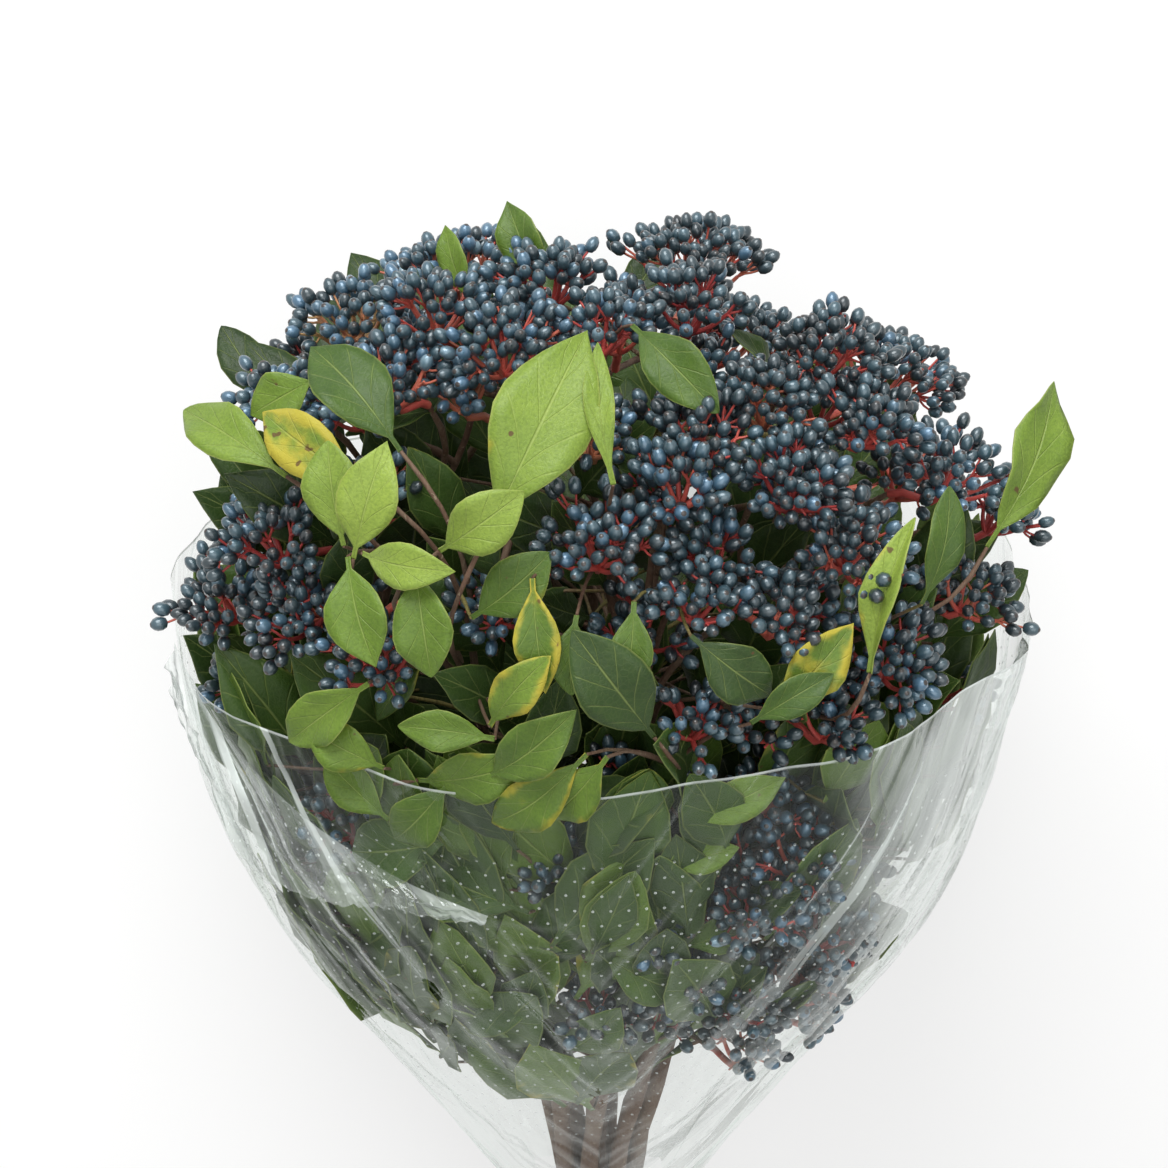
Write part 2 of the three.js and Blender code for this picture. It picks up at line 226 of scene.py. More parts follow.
class Finish:  # one material, or the world
    def __init__(self, name, world=None):
        self.material = world or bpy.data.materials.new(name)
        self.material.use_nodes = True
        self.tree = self.material.node_tree
        self.tree.nodes.clear()
        self.end = self.tree.nodes.new("ShaderNodeOutputWorld" if world else "ShaderNodeOutputMaterial")

    def add(self, kind, settings=None, sockets=None, out=0):
        node = self.tree.nodes.new(kind)
        for key, value in (settings or {}).items():
            if key == "stops":
                ramp = node.color_ramp
                while len(ramp.elements) < len(value):
                    ramp.elements.new(0.5)
                for element, (at, colour) in zip(ramp.elements, value):
                    element.position = at
                    element.color = (*colour, 1)
            else:
                setattr(node, key, value)
        for key, value in (sockets or {}).items():
            feed(self.tree, node.inputs[key], value)
        return Flow(self.tree, node.outputs[out])

    def place(self):
        return self.add("ShaderNodeTexCoord", out="Object")

    def value(self, attribute):
        return self.add("ShaderNodeAttribute", {"attribute_name": attribute}, out="Fac")

    def uv(self):
        flow = self.add("ShaderNodeUVMap", {"uv_map": "UVMap"})
        split = self.tree.nodes.new("ShaderNodeSeparateXYZ")
        self.tree.links.new(flow.socket, split.inputs[0])
        return Flow(self.tree, split.outputs[0]), Flow(self.tree, split.outputs[1])

    def noise(self, where, scale, detail=3.0, rough=0.55):
        sockets = {"Vector": where, "Scale": scale, "Detail": detail, "Roughness": rough}
        return self.add("ShaderNodeTexNoise", sockets=sockets, out="Fac")

    def stretched(self, where, scale):
        return self.add("ShaderNodeMapping", sockets={"Vector": where, "Scale": scale})

    def colours(self, value, stops):
        return self.add("ShaderNodeValToRGB", {"stops": stops}, {"Fac": value})

    def blend(self, share, first, second):
        paint = [c if isinstance(c, Flow) else (*c, 1) for c in (first, second)]
        return self.add("ShaderNodeMix", {"data_type": "RGBA"}, {0: share, 6: paint[0], 7: paint[1]}, out=2)

    def bump(self, height, strength, distance):
        sockets = {"Height": height, "Strength": strength, "Distance": distance}
        return self.add("ShaderNodeBump", sockets=sockets)

    def seen(self):  # 1 for what the camera, a gloss or a clear film looks at, 0 for plain light
        kinds = ("Camera", "Glossy", "Transmission")
        rays = [self.add("ShaderNodeLightPath", out=f"Is {kind} Ray") for kind in kinds]
        return rays[0].most(rays[1]).most(rays[2])

    def surface(self, ior=1.45, **sockets):  # BaseColor feeds the socket Base Color, and so on
        spaced = {"IOR": ior}
        for key, value in sockets.items():
            spaced[key[0] + "".join(" " + c if c.isupper() else c for c in key[1:])] = value
        self.show(self.add("ShaderNodeBsdfPrincipled", sockets=spaced))

    def show(self, shader):
        self.tree.links.new(shader.socket, self.end.inputs["Surface"])


# pieces

def paint(mesh, values):  # one tone for each vertex
    mesh.attributes.new("tone", "FLOAT", "POINT").data.foreach_set("value", values)


def finishPiece(name, mesh, finishes, replaced=()):
    piece = bpy.data.objects.new(name, mesh)
    bpy.context.scene.collection.objects.link(piece)
    for finish in finishes:
        mesh.materials.append(finish.material)
    for polygon in mesh.polygons:
        polygon.use_smooth = True
    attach(piece, "root")
    if replaced:
        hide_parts(*replaced)
    return piece


def meshFrom(bm, name):
    mesh = bpy.data.meshes.new(name)
    bm.to_mesh(mesh)
    bm.free()
    return mesh


def spinShell(bm, outline, steps):  # vertices in a row, spun round z
    edges = [bm.edges.new(pair) for pair in zip(outline, outline[1:])]
    bmesh.ops.spin(bm, geom=outline + edges, cent=(0, 0, 0), axis=(0, 0, 1), angle=math.tau, steps=steps,
                   use_merge=True)
    bmesh.ops.remove_doubles(bm, verts=bm.verts, dist=1e-6)
    bmesh.ops.recalc_face_normals(bm, faces=bm.faces)


def tubesMesh(name, runs, sides):  # runs: lists of (point, radius, material index)
    curve = bpy.data.curves.new(name, "CURVE")
    curve.dimensions = "3D"
    curve.bevel_depth = 1.0
    curve.bevel_resolution = sides
    curve.use_fill_caps = True
    for run, index in runs:
        spline = curve.splines.new("POLY")
        spline.points.add(len(run) - 1)
        spline.material_index = index
        for knot, (point, radius) in zip(spline.points, run):
            knot.co = (*point, 1)
            knot.radius = radius
    helper = bpy.data.objects.new(name, curve)
    bpy.context.scene.collection.objects.link(helper)
    mesh = bpy.data.meshes.new_from_object(helper.evaluated_get(bpy.context.evaluated_depsgraph_get()))
    mesh.name = name
    bpy.data.objects.remove(helper)
    mesh.materials.clear()
    return mesh


def arc(start, end, startWay, endWay, radii, knots):  # a bent run from start to end with its two directions
    reach = (end - start).length * 0.42
    a, b = start + startWay * reach, end - endWay * reach
    run = []
    for i in range(knots):
        t = i / (knots - 1)
        point = start * (1 - t) ** 3 + a * 3 * t * (1 - t) ** 2 + b * 3 * t * t * (1 - t) + end * t ** 3
        run.append((point, mix(radii[0], radii[1], t)))
    return run


# materials

def berrySkin():
    finish = Finish("berrySkin")
    where = finish.place()
    tone, rise = finish.value("tone"), finish.value("rise")
    mottle = finish.noise(where, 260.0, 3.0)
    grain = finish.noise(where, 1400.0, 2.0)
    skin = finish.colours(tone + mottle * 0.24 - 0.12, [
        (0.0, (0.013, 0.016, 0.019)), (0.35, (0.03, 0.05, 0.06)),
        (0.58, (0.055, 0.104, 0.13)), (0.8, (0.075, 0.16, 0.25)), (1.0, (0.19, 0.29, 0.34))])
    calyx = rise.ramp(0.965, 0.985)
    skin = finish.blend(calyx, skin, (0.02, 0.014, 0.012))
    height = finish.noise(where, 500.0, 2.0)
    finish.surface(
        BaseColor=skin, Metallic=0.3 * (1 - calyx), Roughness=0.3 + grain * 0.16 + calyx * 0.3,
        CoatWeight=0.85, CoatRoughness=0.17, Normal=finish.bump(height, 0.25, 0.0004))
    return finish


stalkReds = {
    "redStalk": [(0.0, (0.3, 0.035, 0.035)), (0.35, (0.52, 0.085, 0.07)), (0.6, (0.56, 0.19, 0.11)),
                 (0.9, (0.5, 0.36, 0.15))],
    "pedicel": [(0.0, (0.26, 0.04, 0.035)), (0.4, (0.46, 0.1, 0.07)), (0.65, (0.54, 0.23, 0.12)),
                (0.9, (0.52, 0.38, 0.16))],
}


def stalkSkin(name):
    finish = Finish(name)
    where = finish.place()
    patch = finish.noise(where, 40.0, 2.0)
    streak = finish.noise(where, 420.0, 3.0)
    colour = finish.colours(finish.value("tone") + patch * 0.7 + streak * 0.2 - 0.45, stalkReds[name])
    finish.surface(BaseColor=colour, Roughness=0.42 + streak * 0.2, Normal=finish.bump(streak, 0.3, 0.0004))
    return finish


leafGreens = {
    "leafUpper": [(0.0, (0.018, 0.038, 0.01)), (0.3, (0.05, 0.098, 0.016)), (0.62, (0.13, 0.215, 0.026)),
                  (1.0, (0.27, 0.37, 0.06))],
    "leafUnder": [(0.0, (0.09, 0.15, 0.04)), (0.5, (0.2, 0.29, 0.08)), (1.0, (0.32, 0.42, 0.12))],
}


def leafSkin(name, upper):
    finish = Finish(name)
    where = finish.place()
    u, v = finish.uv()
    tone, age = finish.value("tone"), finish.value("age")
    side = (u - 0.5).size()
    patch = finish.noise(where, 70.0, 3.0)
    fine = finish.noise(where, 900.0, 3.0)
    blade = finish.colours(tone + patch * 0.3 - 0.15, leafGreens[name])
    # midrib, and side veins that bend towards the tip
    midrib = 1 - side.ramp(0.006, 0.026)
    ladder = (v * 7.0 - side * 4.4 + side * side * 3.0).part()
    vein = 1 - (ladder - 0.5).size().ramp(0.01, 0.06)
    vein = vein * (1 - side.ramp(0.36, 0.48))
    net = finish.add(
        "ShaderNodeTexVoronoi", {"feature": "DISTANCE_TO_EDGE"}, {"Vector": where, "Scale": 420.0})
    mesh = 1 - net.ramp(0.0, 0.12)
    veins = midrib.most(vein * 0.55).most(mesh * 0.1)
    blade = finish.blend(fine.ramp(0.35, 0.7) * 0.25, blade, (0.02, 0.05, 0.012))
    pale = finish.blend(0.4, blade, (0.42, 0.5, 0.16))
    colour = finish.blend(veins * 0.7, blade, pale)
    # yellowing from the edge, a few brown spots
    margin = side.ramp(0.468, 0.5)
    colour = finish.blend(margin * (0.25 + tone * 0.4), colour, (0.33, 0.38, 0.1))
    rim = side.ramp(0.2, 0.5).most(v.ramp(0.75, 1.0))
    yellow = (rim * 0.4 + patch * 1.5 - 1.5 + age * 1.2).ramp(0.0, 0.45)
    colour = finish.blend(yellow * 0.75, colour, (0.5, 0.4, 0.045))
    speck = finish.noise(where, 150.0, 2.0, 0.4)
    spots = (speck + age * 0.16).ramp(0.78, 0.82)
    colour = finish.blend(spots * 0.85, colour, (0.1, 0.045, 0.02))
    height = 0.7 * veins * (1 if upper else -1) + 0.3 * fine + 0.8 * patch
    bump = finish.bump(1 - height if upper else height, 0.6, 0.0011)
    gloss = 0.3 if upper else 0.58
    finish.surface(ior=1.34, BaseColor=colour, Roughness=gloss + fine * 0.2 + yellow * 0.1, Normal=bump)
    return finish


def barkSkin():
    finish = Finish("bark")
    where = finish.place()
    patch = finish.noise(where, 40.0, 4.0)
    fibre = finish.noise(finish.stretched(where, (900.0, 90.0, 900.0)), 1.0, 4.0)
    pits = finish.noise(finish.stretched(where, (500.0, 260.0, 500.0)), 1.0, 2.0)
    brown = finish.colours(patch * 0.7 + fibre * 0.4, [
        (0.3, (0.05, 0.028, 0.018)), (0.5, (0.12, 0.066, 0.04)), (0.66, (0.18, 0.12, 0.08)),
        (0.85, (0.25, 0.2, 0.14))])
    young = finish.colours(fibre, [(0.3, (0.11, 0.09, 0.025)), (0.7, (0.24, 0.21, 0.06))])
    colour = finish.blend(finish.value("tone").ramp(0.5, 0.72), brown, young)
    lenticel = pits.ramp(0.66, 0.72)
    colour = finish.blend(lenticel * 0.6, colour, (0.36, 0.28, 0.19))
    finish.surface(BaseColor=colour, Roughness=0.62 + fibre * 0.25,
                   Normal=finish.bump(fibre + lenticel * 0.5, 0.6, 0.0008))
    return finish


def pithSkin():
    finish = Finish("cutWood")
    where = finish.place()
    rays = finish.noise(where, 900.0, 3.0)
    colour = finish.colours(rays, [(0.3, (0.45, 0.38, 0.22)), (0.7, (0.66, 0.6, 0.4))])
    finish.surface(BaseColor=colour, Roughness=0.8)
    return finish


def bandSkin():
    finish = Finish("naturalRubber")
    where = finish.place()
    dust = finish.noise(where, 700.0, 3.0)
    colour = finish.colours(dust, [(0.3, (0.42, 0.25, 0.09)), (0.7, (0.58, 0.38, 0.16))])
    finish.surface(BaseColor=colour, Roughness=0.5 + dust * 0.2, Normal=finish.bump(dust, 0.3, 0.0004))
    return finish


film = {
    "holePitch": 0.0074, "holeRadius": 0.0004, "holeBand": (0.195, 0.395),
    "clear": 0.025, "sheen": 0.5, "streaks": 0.75, "panel": 0.5,
}


def filmSkin(name, haze):
    finish = Finish(name)
    where = finish.place()
    u, v = finish.uv()  # metres round the sleeve and along it
    # air holes in staggered rows
    pitch = film["holePitch"]
    shift = ((v / pitch).floor() * 0.5).part()
    du = ((u / pitch + shift).part() - 0.5) * pitch
    dv = ((v / pitch).part() - 0.5) * pitch
    away = (du * du + dv * dv).root()
    ring = 1 - (away - film["holeRadius"]).size().ramp(0.0001, 0.0003)
    low, high = film["holeBand"]
    holes = ring * v.ramp(low - 0.002, low) * (1 - v.ramp(high, high + 0.002))
    # taut folds that run slantwise to the gathered end, and slack crumples between them
    lean = u.size() * 0.8 - v * 0.6
    drawn = v * 0.8 + u.size() * 0.6
    foldPlace = finish.add(
        "ShaderNodeCombineXYZ", sockets={"X": lean * 36, "Y": drawn * 3.2, "Z": u.over(0.0) * 9})
    folds = finish.noise(foldPlace, 1.0, 2.0, 0.45)
    crumple = finish.noise(where, 22.0, 2.0, 0.45)
    crease = 1 - (crumple - 0.5).size().ramp(0.0, 0.05)
    foldLine = 1 - (folds - 0.5).size().ramp(0.0, 0.06)
    drift = finish.noise(where, 7.0, 2.0)
    height = folds * 1.6 + crumple * 0.4 + foldLine * 0.06
    normal = finish.bump(height, 0.9, 0.01)
    graze = finish.add("ShaderNodeLayerWeight", sockets={"Blend": 0.5, "Normal": normal}, out="Facing")
    fine = finish.noise(finish.stretched(foldPlace, (3.2, 1.2, 1.0)), 1.0, 3.0, 0.6)
    sides = u.size().ramp(0.03, 0.2) * 0.85 + 0.15
    # streak: pale bands along the folds, strongest towards the sides, are painted highlights: the lamps'
    # glints on the folds drawn as whitish film
    streak = (fine * 0.55 + folds * 0.5).ramp(0.6, 0.64) * drift.ramp(0.4, 0.52) * sides
    # a taut panel on the right mirrors the room
    panel = u.ramp(0.09, 0.16) * (1 - u.ramp(0.22, 0.32)) * v.ramp(0.16, 0.26)
    panel = panel * (fine * 1.3 + crumple * 0.9 - 0.55).ramp(0.1, 0.6)
    shine = graze ** 4 * film["sheen"] + film["clear"] + panel * film["panel"]
    if haze:
        streak = streak.most((crumple * 0.7 + fine * 0.5).ramp(0.54, 0.66) * haze + haze * 0.4)
    # lip: a pale line along the free edge, a painted highlight
    lip = v.ramp(rimAlong - 0.0016, rimAlong - 0.0006) * 0.5
    # whitening of the film: haze in the crumple creases and on the flap, pale rings round the holes, and the
    # painted highlights of the fold streaks and the edge line
    hazeAndHighlight = (streak * film["streaks"] + crease * drift.ramp(0.5, 0.65) * 0.05 + holes * 0.5 + lip).least(1.0)
    cover = (shine + hazeAndHighlight).least(0.92)
    plastic = finish.add("ShaderNodeBsdfPrincipled", sockets={
        "Base Color": finish.blend(hazeAndHighlight.ramp(0.0, 0.2), (0.93, 0.98, 0.955), (0.88, 0.95, 0.915)),
        "Metallic": 1 - hazeAndHighlight.ramp(0.0, 0.15), "Roughness": 0.08 + hazeAndHighlight * 0.3, "Normal": normal})
    clear = finish.add("ShaderNodeBsdfTransparent", sockets={"Color": (0.97, 0.983, 0.975, 1)})
    finish.show(finish.add("ShaderNodeMixShader", sockets={0: cover, 1: clear, 2: plastic}))
    return finish


berry = berrySkin()
stalk = stalkSkin("redStalk")
pedicel = stalkSkin("pedicel")
leafTop = leafSkin("leafUpper", True)
leafUnder = leafSkin("leafUnder", False)
bark = barkSkin()
pith = pithSkin()
rubber = bandSkin()
clearFilm = filmSkin("clearFilm", 0.0)
hazyFilm = filmSkin("hazyFilm", 0.26)
print("materials made")


# berry heads

umbel = {
    "berryRadius": 0.0029, "berryLength": 0.0074, "stalk": 0.026, "crowd": 0.0063,
    "rays": 10.8, "rayRadius": 0.0011, "pedicelRadius": 0.00048, "bare": 0.05, "wide": 1.3, "upright": 0.55,
    "hubDepth": 0.76, "topSink": 0.009, "sinkFrom": (0.53, 0.57), "berriesOnRay": (3, 4, 5, 6, 7, 9),
    "neck": (0.018, 0.03, 0.006), "step": 0.0025, "margin": 0.0055,
}
nested = {"gap": (0.03, 0.095), "sink": 0.018, "apart": 0.03, "radius": 0.021}
goldenTurn = 2.39996  # radians from one ray or berry to the next


def berryTemplate():
    # half outline from the stalk end up to the withered calyx, spun round the berry's own axis
    half = umbel["berryLength"] / 2
    bm = bmesh.new()
    ring = []
    for angle in (-90, -52, -18, 14, 44, 66):
        radius = umbel["berryRadius"] * math.cos(math.radians(angle)) ** 0.85 if angle > -90 else 0
        ring.append(bm.verts.new((radius, 0, half * math.sin(math.radians(angle)))))
    ring.append(bm.verts.new((0.0007, 0, half * 1.06)))
    ring.append(bm.verts.new((0, 0, half * 1.04)))
    spinShell(bm, ring, 8)
    layer = bm.verts.layers.float.new("rise")
    for vert in bm.verts:
        vert[layer] = clamp(vert.co.z / half * 0.5 + 0.5)
    return meshFrom(bm, "berryShape")


def readUmbel(name):
    points = pointsOf(name)
    middle = middleOf(points)
    end = max(points, key=lambda p: (p - middle).length)
    base = middleOf([p for p in points if (p - end).length < 0.0045])
    axis = (middle - base).normalized()
    near, far, wide = umbel["neck"]
    for _ in range(3):
        neck = [p for p in points
                if near < (p - base).dot(axis) < far and across(p - base, axis).length < wide]
        if neck:
            axis = (middleOf(neck) - base).normalized()
    radii = sorted(across(p - base, axis).length for p in points)
    return {"name": name, "base": base, "axis": axis, "radius": radii[int(len(radii) * 0.93)]}


def side(axis):  # any direction square to an axis
    return across(Vector((1, 0, 0)) if abs(axis.x) < 0.8 else Vector((0, 1, 0)), axis).normalized()


def layHead(head):
    # rays fan out from the hub under a flat dome, and each ends in a small bunch of berries
    radius = head["radius"]
    centre = head["base"] + head["axis"] * (umbel["stalk"] + radius * 0.5)
    centre -= alongAxis * umbel["topSink"] * smooth(*umbel["sinkFrom"], bunchCoordinates(centre)[1])
    axis = (head["axis"] * (1 - umbel["upright"]) + alongAxis * umbel["upright"]).normalized()
    right = side(axis)
    up = axis.cross(right)
    hub = centre - axis * radius * umbel["hubDepth"]
    reach = radius * umbel["wide"] - umbel["berryRadius"]
    count = max(5, round(umbel["rays"] * (radius / 0.026) ** 2))
    start = dice.uniform(0, math.tau)
    head["hub"], head["top"], head["rays"] = hub, axis, []
    for k in range(count):
        far = math.sqrt((k + 0.3) / count) * 0.92
        turn = start + k * goldenTurn + dice.uniform(-0.2, 0.2)
        out = right * math.cos(turn) + up * math.sin(turn)
        high = radius * (1.02 - 0.36 * far ** 2) * dice.uniform(0.8, 1.03)
        target = hub + out * far * reach + axis * high
        way = (target - hub).normalized()
        ray = {"way": way, "node": hub + (target - hub) * spread(0.62, 0.12), "berries": []}
        flatRight = side(way)
        flatUp = way.cross(flatRight)
        swing = dice.uniform(0, math.tau)
        for j in range(dice.choice(umbel["berriesOnRay"])):
            gone = umbel["crowd"] * math.sqrt(j + 0.3) * 0.52
            angle = swing + j * goldenTurn
            spot = target + (flatRight * math.cos(angle) + flatUp * math.sin(angle)) * gone
            spot += way * (dice.gauss(0, 0.0028) - gone * 0.3)
            ray["berries"].append({"at": spot})
        head["rays"].append(ray)


def crowdApart(berries, rounds):
    for _ in range(rounds):
        tree = KDTree(len(berries))
        for i, one in enumerate(berries):
            tree.insert(one["at"], i)
        tree.balance()
        moves = [Vector() for _ in berries]
        for i, one in enumerate(berries):
            for spot, j, gap in tree.find_range(one["at"], umbel["crowd"]):
                if j != i and gap > 1e-6:
                    moves[i] += (one["at"] - spot) * (0.5 * (umbel["crowd"] - gap) / gap)
        for one, move in zip(berries, moves):
            if move.length > umbel["step"]:
                move = move.normalized() * umbel["step"]
            one["at"] = keepInside(one["at"] + move, umbel["margin"])


def keepInside(point, margin):  # within the film below its rim, and above the film's floor
    x, along, front = bunchCoordinates(point)
    if along < rimAlong + 0.004:
        limit = sleeveRadius(along) - margin
        radius = math.hypot(x, front)
        if radius > limit:
            x, front = x * limit / radius, front * limit / radius
            point = foot + Vector((x, 0, 0)) + alongAxis * along + frontAxis * front
    if point.z < margin + 0.002:
        point.z = margin + 0.002
    return point


def growUmbel(head, template):
    axis, hub = head["top"], head["hub"]
    thick, thin = umbel["rayRadius"], umbel["pedicelRadius"]
    runs = [(arc(head["base"], hub, head["axis"], axis, (thick * 1.7, thick * 1.5), 5), 0)]
    for ray in head["rays"]:
        node, way = ray["node"], ray["way"]
        bow = (axis * 0.5 + way).normalized()
        leave = (way * 1.3 - axis * 0.3).normalized()
        runs.append((arc(hub - axis * 0.001, node, leave, bow, (thick * 1.1, thick * 0.8), 5), 0))
        for one in ray["berries"]:
            reach = one["at"] - node
            one["way"] = (reach.normalized() + bow * 0.35).normalized()
            end = one["at"] - one["way"] * umbel["berryLength"] * 0.46
            leave = (bow + reach.normalized() * 0.6).normalized()
            runs.append((arc(node, end, leave, one["way"], (thin * 1.35, thin), 4), 1))
    bm = bmesh.new()
    toneLayer = bm.verts.layers.float.new("tone")
    bm.verts.layers.float.new("rise")
    for one in head["berries"]:
        if dice.random() < umbel["bare"]:
            continue
        first = len(bm.verts)
        bm.from_mesh(template)
        bm.verts.ensure_lookup_table()
        fresh = bm.verts[first:]
        girth = spread(1.0, 0.09)
        stretch = spread(1.0, 0.08) * head["longness"]
        turn = Quaternion((0, 0, 1), dice.uniform(0, math.tau))
        pose = (one["way"].to_track_quat("Z", "Y") @ turn).to_matrix().to_4x4()
        shape = Matrix.Diagonal((girth, girth * spread(1.0, 0.04), stretch, 1))
        bmesh.ops.transform(bm, matrix=Matrix.Translation(one["at"]) @ pose @ shape, verts=fresh)
        tone = clamp(head["tone"] + dice.gauss(0, 0.15))
        for vert in fresh:
            vert[toneLayer] = tone
    label = head["label"]
    berries = meshFrom(bm, label + "_berries")
    finishPiece(label + "_berries", berries, [berry], head.get("replaces", ()))
    stalks = tubesMesh(label + "_stalks", runs, 1)
    paint(stalks, [head["stalkTone"]] * len(stalks.vertices))
    finishPiece(label + "_stalks", stalks, [stalk, pedicel])


heads = [readUmbel(name) for name in named("umbel")]
for head in heads:
    head["label"] = head["name"]
    head["replaces"] = (head["name"],)


def nestedHeads(heads):
    # smaller heads fill the gaps between close neighbours, a little deeper in the bunch
    made = []
    for i, one in enumerate(heads):
        for other in heads[i + 1:]:
            gap = (one["base"] - other["base"]).length
            if not nested["gap"][0] < gap < nested["gap"][1]:
                continue
            axis = (one["axis"] + other["axis"]).normalized()
            base = (one["base"] + other["base"]) / 2 - axis * nested["sink"]
            if all((base - kept["base"]).length > nested["apart"] for kept in made):
                made.append({"base": base, "axis": axis, "radius": nested["radius"]})
    for k, head in enumerate(made):
        head["label"] = f"nested_{k + 1:02d}"
    return made


inner = nestedHeads(heads)
print("heads:", len(heads), "nested:", len(inner))


def sleeveHeads():
    # heads that the film has gathered in, low on the best side and round the back: x, along, front and radius,
    # in millimetres
    rows = [(100, 322, 122, 21), (34, 312, 132, 20), (86, 262, 84, 18), (86, 372, 140, 21), (24, 262, 98, 17),
            (100, 330, 88, 20), (-112, 372, 110, 20), (-150, 420, 60, 20), (154, 400, 40, 22),
            (-120, 330, 10, 20), (120, 380, -60, 22), (-40, 400, -130, 22), (60, 420, -150, 22),
            (-150, 430, -40, 22), (60, 290, 126, 19), (94, 284, 96, 18), (64, 352, 150, 20),
            (0, 288, 136, 16), (66, 236, 94, 16), (100, 240, 66, 15)]
    made = []
    for x, along, front, radius in rows:
        middle = place(x, along, front)
        axis = (middle - place(0, min(400, along - 60), 0)).normalized()
        base = middle - axis * (umbel["stalk"] + radius * 0.0005)
        made.append({"base": base, "axis": axis, "radius": radius * 0.00115})
    for k, head in enumerate(made):
        head["label"] = f"low_{k + 1:02d}"
    return made


low = sleeveHeads()
everyHead = heads + inner + low
for head in everyHead:
    x, along, front = bunchCoordinates(head["base"])
    blueness = smooth(0.05, -0.09, x) * smooth(0.46, 0.54, along)
    head["tone"] = clamp(0.46 + 0.2 * blueness + dice.uniform(-0.08, 0.08))
    head["stalkTone"] = clamp(0.3 + 0.25 * blueness + dice.uniform(-0.25, 0.25))
    head["longness"] = spread(1.0, 0.06)
    layHead(head)
    head["berries"] = [one for ray in head["rays"] for one in ray["berries"]]

everyBerry = [one for head in everyHead for one in head["berries"]]
crowdApart(everyBerry, 6)
template = berryTemplate()
for head in everyHead:
    growUmbel(head, template)
print("berries:", len(everyBerry))


# leaves

leaf = {
    "grid": (6, 14), "plainGrid": (4, 9), "thickness": 0.00045, "petiole": 0.09, "narrow": 0.92,
    "margin": 0.004, "pair": 0.034,
}


def bladeHalf(share, width, point):  # point: 0.6 blunt, 1.2 drawn out
    blade = (share - leaf["petiole"]) / (1 - leaf["petiole"])
    if blade <= 0:
        return 0.001
    rise = math.sin(math.pi * blade ** 1.02)
    return max(0.001 * (1 - blade), width / 2 * rise ** (0.95 if blade < 0.5 else point))


def growLeaf(bm, one, grid):
    start, tip, face = one["from"], one["to"], one["face"]
    ahead = tip - start
    length = ahead.length
    ahead.normalize()
    face = across(face, ahead).normalized()
    right = ahead.cross(face)
    flat = bmesh.ops.create_grid(bm, x_segments=grid[0], y_segments=grid[1], size=0.5, calc_uvs=True)
    wave, phase = one.get("wave", 0.03), dice.uniform(0, math.tau)
    bend, fold, twist = one.get("bend", 0.12), one.get("fold", 0.2), one.get("twist", 0.0)
    point = dice.uniform(0.75, 1.1)
    layers = bm.verts.layers.float
    for vert in flat["verts"]:
        u, v = vert.co.x, 0.5 - 0.5 * math.cos(math.pi * (vert.co.y + 0.5))
        half = bladeHalf(v, one["width"] * leaf["narrow"], point)
        reach = u * 2 * half
        turn = twist * (v - 0.5)
        lift = length * bend * math.sin(math.pi * v) + abs(reach) * fold
        edge = (2 * abs(u)) ** 2 * min(1, half / 0.01)
        lift += length * wave * edge * math.sin(v * 13 + phase + (2 if u > 0 else 0))
        sideways = length * 0.04 * math.sin(math.pi * v) * one.get("sway", 0.0)
        rightTurned = right * math.cos(turn) + face * math.sin(turn)
        vert.co = start + ahead * (v * length) + rightTurned * reach + right * sideways + face * lift
        vert[layers["tone"]] = one["tone"]
        vert[layers["age"]] = one["age"]


def leafMesh(name, group, grid):
    bm = bmesh.new()
    bm.verts.layers.float.new("tone")
    bm.verts.layers.float.new("age")
    bm.loops.layers.uv.new("UVMap")
    for one in group:
        growLeaf(bm, one, grid)
    return meshFrom(bm, name)


def leafPiece(name, group, replaced=(), grid=leaf["grid"]):
    piece = finishPiece(name, leafMesh(name, group, grid), [leafTop, leafUnder], replaced)
    skin = piece.modifiers.new("thickness", "SOLIDIFY")
    skin.thickness = leaf["thickness"]
    skin.offset = -1
    skin.material_offset = 1
    skin.material_offset_rim = 0
    return piece


def readLeaf(name):
    points = pointsOf(name)
    middle = middleOf(points)
    one = max(points, key=lambda p: (p - middle).length)
    other = max(points, key=lambda p: (p - one).length)
    ends = sorted((one, other), key=lambda p: (linePoint(stemLines[stemFor(p)], 0.9)[0] - p).length)
    ends = [middleOf([p for p in points if (p - end).length < 0.004]) for end in ends]
    start, tip = ends
    ahead = (tip - start).normalized()
    face = across(middle - (start + tip) / 2, ahead).normalized()
    right = ahead.cross(face)
    spans = [(p - start).dot(right) for p in points]
    return {"from": start, "to": tip, "face": face, "width": max(spans) - min(spans), "name": name}


cadLeaves = [readLeaf(name) for name in named("leaf")]
leafLooks = {
    "leaf_01": {"tone": 0.8, "age": 0.25, "bend": 0.1, "fold": 0.12, "wave": 0.035},
    "leaf_02": {"tone": 0.9, "age": 0.0},
    "leaf_03": {"tone": 0.98, "age": 0.0},
    "leaf_04": {"tone": 0.75, "age": 0.1},
    "leaf_05": {"tone": 0.72, "age": 0.75},
    "leaf_06": {"tone": 0.3, "age": 0.0},
    "leaf_07": {"tone": 0.7, "age": 0.1, "wave": 0.045},
    "leaf_08": {"tone": 0.95, "age": 0.3, "fold": 0.9},
    "leaf_09": {"tone": 0.12, "age": 0.0, "wave": 0.02},
    "leaf_10": {"tone": 0.55, "age": 0.3},
    "leaf_11": {"tone": 0.3, "age": 0.0},
}
for one in cadLeaves:
    one.update(leafLooks[one["name"]])
    leafPiece(one["name"] + "_blade", [one], (one["name"],))

